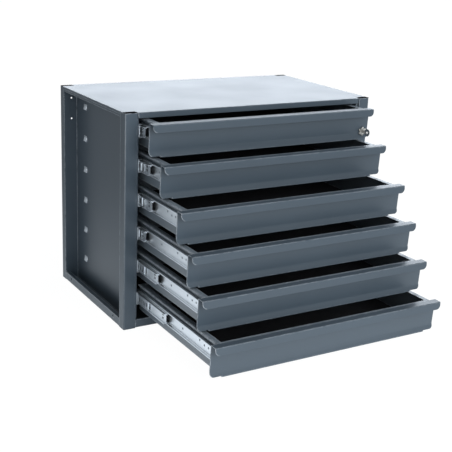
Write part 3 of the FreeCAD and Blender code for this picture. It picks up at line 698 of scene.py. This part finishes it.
class GeometryTree(Tree):
    """A geometry tree with named inputs."""

    def __init__(self, name, inputs):
        tree = bpy.data.node_groups.new(name, "GeometryNodeTree")
        kinds = {"number": "NodeSocketInt", "length": "NodeSocketFloat", "place": "NodeSocketVector",
                 "material": "NodeSocketMaterial"}
        tree.interface.new_socket("Geometry", in_out="INPUT", socket_type="NodeSocketGeometry")
        self.sockets = {}
        for label, kind in inputs.items():
            socket = tree.interface.new_socket(label, in_out="INPUT", socket_type=kinds[kind])
            self.sockets[label] = socket.identifier
        tree.interface.new_socket("Geometry", in_out="OUTPUT", socket_type="NodeSocketGeometry")
        super().__init__(tree)
        self.given = self.add("NodeGroupInput").outputs
        self.result = self.add("NodeGroupOutput").inputs["Geometry"]

    def finish(self, geometry):
        whole = self.add("GeometryNodeRealizeInstances", {"Geometry": geometry}).outputs["Geometry"]
        coated = self.add("GeometryNodeSetMaterial", {"Geometry": whole, "Material": self.given["Material"]})
        self.feed(self.result, coated.outputs["Geometry"])
        return self


def ball_tree():
    """Balls spaced along every edge of the guide mesh that it is given."""
    inputs = {"Spacing": "length", "Radius": "length", "Material": "material"}
    tree = GeometryTree("Ball rows", inputs)
    curve = tree.add("GeometryNodeMeshToCurve", {"Mesh": tree.given["Geometry"]}).outputs["Curve"]
    points = tree.add("GeometryNodeCurveToPoints", {"Curve": curve, "Length": tree.given["Spacing"]},
                      mode="LENGTH").outputs["Points"]
    ball = tree.add("GeometryNodeMeshUVSphere", {
        "Segments": 10, "Rings": 6, "Radius": tree.given["Radius"]}).outputs["Mesh"]
    ball = tree.add("GeometryNodeSetShadeSmooth", {"Geometry": ball}).outputs["Geometry"]
    rows = tree.add("GeometryNodeInstanceOnPoints", {"Points": points, "Instance": ball})
    return tree.finish(rows.outputs["Instances"])


def rib_tree():
    """Narrow bars repeated at an even spacing from front to back."""
    inputs = {"Count": "number", "Spacing": "length", "Width": "length", "Height": "length",
              "Length": "length", "Start": "place", "Material": "material"}
    tree = GeometryTree("Liner ribs", inputs)
    step = tree.add("ShaderNodeCombineXYZ", {"Y": tree.given["Spacing"]}).outputs["Vector"]
    line = tree.add("GeometryNodeMeshLine", {
        "Count": tree.given["Count"], "Start Location": tree.given["Start"], "Offset": step}, mode="OFFSET")
    size = tree.add("ShaderNodeCombineXYZ", {
        "X": tree.given["Length"], "Y": tree.given["Width"], "Z": tree.given["Height"]}).outputs["Vector"]
    bar = tree.add("GeometryNodeMeshCube", {"Size": size}).outputs["Mesh"]
    rows = tree.add("GeometryNodeInstanceOnPoints", {"Points": line.outputs["Mesh"], "Instance": bar})
    return tree.finish(rows.outputs["Instances"])


balls = ball_tree()
ribs = rib_tree()


def guide_mesh(lines=()):
    """A mesh of loose edges from front to back, one for each (across, height, front, back)."""
    mesh = bpy.data.meshes.new("guide")
    spots, pairs = [], []
    for across, height, front, back in lines:
        pairs.append((len(spots), len(spots) + 1))
        spots += [(across, front, height), (across, back, height)]
    mesh.from_pydata(spots, pairs, [])
    return mesh


def grown(tree, guide, values):
    """The mesh that a geometry tree makes from a guide mesh and named values."""
    def growth(holder):
        modifier = holder.modifiers.new("growth", "NODES")
        modifier.node_group = tree.tree
        for label, value in values.items():
            modifier[tree.sockets[label]] = value
    return with_modifiers(guide, growth)


INNER_ROW, OUTER_ROW = 11.8 * MM, 2.9 * MM      # inward from the outermost place of the middle members
ROW_FROM_EDGE = 0.45 * MM                       # from the top or the bottom of the cages
CAGE_LENGTH, BALL_PITCH, BALL_RADIUS = 84 * MM, 10.5 * MM, 1.05 * MM
BRIDGE_LENGTH, BRIDGE_WIDTH, BRIDGE_THICKNESS = 6.5 * MM, 3.6 * MM, 0.9 * MM
BALL_FROM_BRIDGE = 2 * MM


def ball_rows(number):
    """Cages and their balls between the members, near the tray and near the cabinet."""
    node = f"ball_cages_{number}"
    slide, cage = Member(f"middle_slides_{number}"), Member(node)
    rise = cage.height / 2 - ROW_FROM_EDGE
    rows = ((slide.reach - INNER_ROW, cage.front), (slide.reach - OUTER_ROW, cage.back - CAGE_LENGTH))
    lines, bridges = [], []
    for row, start in rows:
        for side in SIDES:
            for upright in SIDES:
                across, height = side * row, slide.centre + upright * rise
                first_ball = start + BRIDGE_LENGTH + BALL_FROM_BRIDGE
                lines.append((across, height, first_ball, start + CAGE_LENGTH))
                bridges.append(grown(ribs, guide_mesh(), {
                    "Count": int(CAGE_LENGTH / BALL_PITCH), "Spacing": BALL_PITCH, "Width": BRIDGE_LENGTH,
                    "Height": BRIDGE_THICKNESS, "Length": BRIDGE_WIDTH,
                    "Start": (across, start + BRIDGE_LENGTH / 2, height), "Material": materials["cage"]}))
    values = {"Spacing": BALL_PITCH, "Radius": BALL_RADIUS, "Material": materials["cage"]}
    mesh = joined([grown(balls, guide_mesh(lines), values)] + bridges)
    add_piece(f"{node}_filled", mesh, f"middle_{number}", "cage", [node])


RIB_PITCH, RIB_WIDTH, RIB_HEIGHT, RIB_SHORT = 4 * MM, 1.6 * MM, 0.8 * MM, 2 * MM


def drawer_mat(number):
    """The liner: narrow ribs from side to side on a thinner sheet."""
    node = f"drawer_{number}_mat"
    low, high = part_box(node)
    base = cleaned_mesh(node)
    for vertex in base.vertices:
        if vertex.co.z > (low.z + high.z) / 2:
            vertex.co.z = high.z - RIB_HEIGHT
    values = {
        "Count": int((high.y - low.y) / RIB_PITCH), "Spacing": RIB_PITCH, "Width": RIB_WIDTH,
        "Height": RIB_HEIGHT, "Length": high.x - low.x - RIB_SHORT,
        "Start": (0, low.y + RIB_PITCH / 2, high.z - RIB_HEIGHT / 2), "Material": materials["mat"]}
    mesh = joined([base, grown(ribs, guide_mesh(), values)])
    add_piece(f"{node}_ribbed", mesh, f"drawer_{number}", "mat", [node])


# ---- the lock's bezel ----

BEZEL_LOBES, BEZEL_STEPS = 6, 72
BEZEL_LAP, BEZEL_PAST = 3.2 * MM, 3.0 * MM          # over the housing's face, and past its rim
BEZEL_NOTCH, BEZEL_SHARPNESS = 4.4 * MM, 4          # how far the ring steps back between two lobes
BEZEL_SUNK, BEZEL_PROUD, BEZEL_SLOPE = 0.6 * MM, 0.7 * MM, 1.0 * MM
BEZEL_RIM, BEZEL_BACK = 0.3 * MM, 1.9 * MM          # behind the housing's face
BEZEL_SHARP_ANGLE = 35                              # degrees


def lock_bezel():
    """A closed ring with six lobes around the lock's housing."""
    low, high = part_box("lock_housing")
    centre_x, centre_z, radius = (low.x + high.x) / 2, (low.z + high.z) / 2, (high.x - low.x) / 2
    inner, outer = radius - BEZEL_LAP, radius + BEZEL_PAST
    ring = bmesh.new()
    sections = []
    for step in range(BEZEL_STEPS):
        turn = 2 * math.pi * step / BEZEL_STEPS
        reach = outer - BEZEL_NOTCH * abs(math.cos(BEZEL_LOBES / 2 * turn)) ** BEZEL_SHARPNESS
        section = ((inner, BEZEL_SUNK), (reach - BEZEL_SLOPE, -BEZEL_PROUD), (reach, BEZEL_RIM),
                   (reach, BEZEL_BACK), (inner, BEZEL_BACK))
        sections.append([
            ring.verts.new((centre_x + far * math.cos(turn), low.y + depth, centre_z + far * math.sin(turn)))
            for far, depth in section
        ])
    for here, there in zip(sections, sections[1:] + sections[:1]):
        for spot in range(len(here)):
            after = (spot + 1) % len(here)
            ring.faces.new((here[spot], here[after], there[after], there[spot]))
    mesh = finished_mesh(ring, "bezel")
    smooth_folds(mesh, BEZEL_SHARP_ANGLE)
    add_piece("lock_bezel", mesh, "drawer_1", "chrome")


# ---- every piece ----

for node in nodes:
    paint_node(node)
for node, width in SOFT_EDGES.items():
    softened(node, width)
for number in DRAWERS:
    drawer_slides(number)
    middle_slides(number)
    middle_bumpers(number)
    retainers(number)
    ball_rows(number)
    drawer_mat(number)
hook_plates()
lock_bezel()
cap_tongues()


# ---- studio ----

COOL_WHITE, WHITE, NEAR_WHITE, DARK_GREY = (0.87, 0.94, 1.0), (1.0, 1.0, 1.0), (0.975,) * 3, (0.1,) * 3

FLOOR_SIZE, FLOOR_CENTRE = 30, (0, 6, 0)
SHADOW_ACROSS, SHADOW_ALONG = (-0.33, 0.33), (0.02, 0.4)  # painted shadow: the floor under the cabinet is dark and gives no light
FADE_FROM, FADE_TO = -0.2, 1.4                              # the glow falls off from front to back
GLOW_FRONT, GLOW_BACK = 1.0, 0.6
GLOW_CENTRE, GLOW_START, GLOW_END = (-0.3, -0.9, 0.0), 0.1, 2.2     # and with distance from a centre
GLOW_NEAR, GLOW_FAR = 1.7, 0.65
GLOW_SOFT = 0.55                                            # the share of it that lights matt faces
SHADE_DISTANCE, SHADE_OPEN, SHADE_LEFT = 0.4, 0.6, 0.25     # and the share left in deep shade

BRIGHT_SIDE, WORLD_DIM, WORLD_BRIGHT = (0.55, -0.85, 0.1), 0.05, 1.65
MIRRORED_SIDE, MIRRORED_DIM, MIRRORED_BRIGHT = (-0.85, 0.1, 0.5), 0.35, 1.1
LOBE_EDGE, LOBE_CORE = 0.0, 0.8                             # cosines between which a side brightens

CAMERA_PLACE = (-1.2651, -2.00235, 0.9685)
CAMERA_YAW, CAMERA_PITCH, CAMERA_ROLL = 30.917, 17.4635, 2.3955     # degrees
CAMERA_LENS, CAMERA_SENSOR = 75.05, 36.0                    # millimetres


def within(tree, value, low, high):
    """One where the value lies between low and high, nought elsewhere."""
    return tree.math("MULTIPLY", tree.math("GREATER_THAN", value, low), tree.math("LESS_THAN", value, high))


def by_ray(tree, is_ray, otherwise, on_ray):
    """One strength for a kind of ray and another for the rest."""
    return tree.remap(is_ray, 0.0, 1.0, otherwise, on_ray)


def studio_floor_material():
    """White to the camera, but for a painted shadow under the cabinet; to the object a glow that fades to
    the back and weakens in deep shade.
    """
    material = bpy.data.materials.new("Studio floor")
    material.use_nodes = True
    material.node_tree.nodes.clear()
    tree = Tree(material.node_tree)
    path = tree.add("ShaderNodeLightPath").outputs
    place = tree.add("ShaderNodeNewGeometry").outputs["Position"]
    across, along, _ = tree.add("ShaderNodeSeparateXYZ", {"Vector": place}).outputs
    # painted shadow under the cabinet
    under_cabinet_shadow = tree.math(
        "MULTIPLY", within(tree, across, *SHADOW_ACROSS), within(tree, along, *SHADOW_ALONG))
    fade = tree.remap(along, FADE_FROM, FADE_TO, GLOW_FRONT, GLOW_BACK)
    distance = tree.vector("DISTANCE", place, GLOW_CENTRE, "Value")
    near = tree.remap(distance, GLOW_START, GLOW_END, GLOW_NEAR, GLOW_FAR)
    sky = tree.add("ShaderNodeAmbientOcclusion", {"Distance": SHADE_DISTANCE}, samples=6).outputs["AO"]
    glow = tree.math("MULTIPLY", tree.math("MULTIPLY", fade, near),
                     tree.remap(sky, 0.0, SHADE_OPEN, SHADE_LEFT, 1.0))
    glow = tree.math("MULTIPLY", glow, by_ray(tree, path["Is Diffuse Ray"], 1.0, GLOW_SOFT))
    strength = by_ray(tree, path["Is Camera Ray"], glow, 1.0)
    strength = tree.math("MULTIPLY", strength, tree.math("SUBTRACT", 1.0, under_cabinet_shadow))
    colour = tree.mix(path["Is Camera Ray"], tinted(COOL_WHITE), tinted(NEAR_WHITE))
    light = tree.add("ShaderNodeEmission", {"Color": colour, "Strength": strength})
    matt = tree.add("ShaderNodeBsdfDiffuse", {"Color": tinted(DARK_GREY)})
    both = tree.add("ShaderNodeAddShader")
    tree.feed(both.inputs[0], light.outputs["Emission"])
    tree.feed(both.inputs[1], matt.outputs["BSDF"])
    output = tree.add("ShaderNodeOutputMaterial")
    tree.feed(output.inputs["Surface"], both.outputs["Shader"])
    return material


def build_floor():
    bpy.ops.mesh.primitive_plane_add(size=FLOOR_SIZE, location=FLOOR_CENTRE)
    floor = bpy.context.object
    floor.name = "studio_floor"
    floor.data.materials.append(studio_floor_material())


def build_world():
    """White to the camera; a sky that lights from the front right and is mirrored brightest at the left."""
    world = bpy.data.worlds.new("Studio light")
    bpy.context.scene.world = world
    world.use_nodes = True
    world.node_tree.nodes.clear()
    tree = Tree(world.node_tree)
    path = tree.add("ShaderNodeLightPath").outputs
    direction = tree.add("ShaderNodeTexCoord").outputs["Generated"]

    def lobe(side, dim, bright):
        facing = tree.vector("DOT_PRODUCT", direction, Vector(side).normalized(), "Value")
        return tree.remap(facing, LOBE_EDGE, LOBE_CORE, dim, bright)
    soft = lobe(BRIGHT_SIDE, WORLD_DIM, WORLD_BRIGHT)
    mirrored = lobe(MIRRORED_SIDE, MIRRORED_DIM, MIRRORED_BRIGHT)
    strength = by_ray(tree, path["Is Glossy Ray"], soft, mirrored)
    strength = by_ray(tree, path["Is Camera Ray"], strength, 1.0)
    colour = tree.mix(path["Is Camera Ray"], tinted(COOL_WHITE), tinted(WHITE))
    sky = tree.add("ShaderNodeBackground", {"Color": colour, "Strength": strength})
    output = tree.add("ShaderNodeOutputWorld")
    tree.feed(output.inputs["Surface"], sky.outputs["Background"])


def softbox(name, place, target, size, power):
    lamp = bpy.data.lights.new(name, "AREA")
    lamp.shape = "RECTANGLE"
    lamp.size, lamp.size_y = size
    lamp.energy = power
    holder = bpy.data.objects.new(name, lamp)
    holder.location = place
    aim = Vector(target) - Vector(place)
    holder.rotation_euler = aim.to_track_quat("-Z", "Y").to_euler()
    bpy.context.scene.collection.objects.link(holder)
    return holder


def build_lights():
    """A wide cool light mirrored in the top, a soft key, and a small light for the front post's edge."""
    back = softbox(
        "back light", place=(2.2, 3.8, 1.9), target=(0.0, 0.2, 0.55), size=(7.0, 3.4), power=236.0)
    back.data.color = (0.84, 0.91, 1.0)
    back.visible_diffuse = False
    key = softbox(
        "key light", place=(0.4, -3.2, 1.2), target=(0.0, 0.0, 0.25), size=(2.0, 1.4), power=38.0)
    key.visible_glossy = False
    edge = softbox(
        "edge light", place=(-1.35, -0.6, 0.28), target=(-0.33, -0.05, 0.28), size=(0.5, 0.5), power=7.0)
    edge.visible_diffuse = False


def build_camera():
    """The view: from the front left, a little above, with a slight roll."""
    yaw, pitch, roll = (math.radians(angle) for angle in (CAMERA_YAW, CAMERA_PITCH, CAMERA_ROLL))
    ahead = Vector((math.sin(yaw) * math.cos(pitch), math.cos(yaw) * math.cos(pitch), -math.sin(pitch)))
    level = Vector((math.cos(yaw), -math.sin(yaw), 0.0))
    upright = level.cross(ahead)
    right = math.cos(roll) * level + math.sin(roll) * upright
    up = math.cos(roll) * upright - math.sin(roll) * level
    camera = bpy.data.cameras.new("camera")
    camera.sensor_width, camera.lens = CAMERA_SENSOR, CAMERA_LENS
    holder = bpy.data.objects.new("camera", camera)
    turn = Matrix((right, up, -ahead)).transposed().to_4x4()
    holder.matrix_world = Matrix.Translation(CAMERA_PLACE) @ turn
    bpy.context.scene.collection.objects.link(holder)
    bpy.context.scene.camera = holder


build_floor()
build_world()
build_lights()
build_camera()
bpy.context.scene.view_settings.view_transform = "Standard"
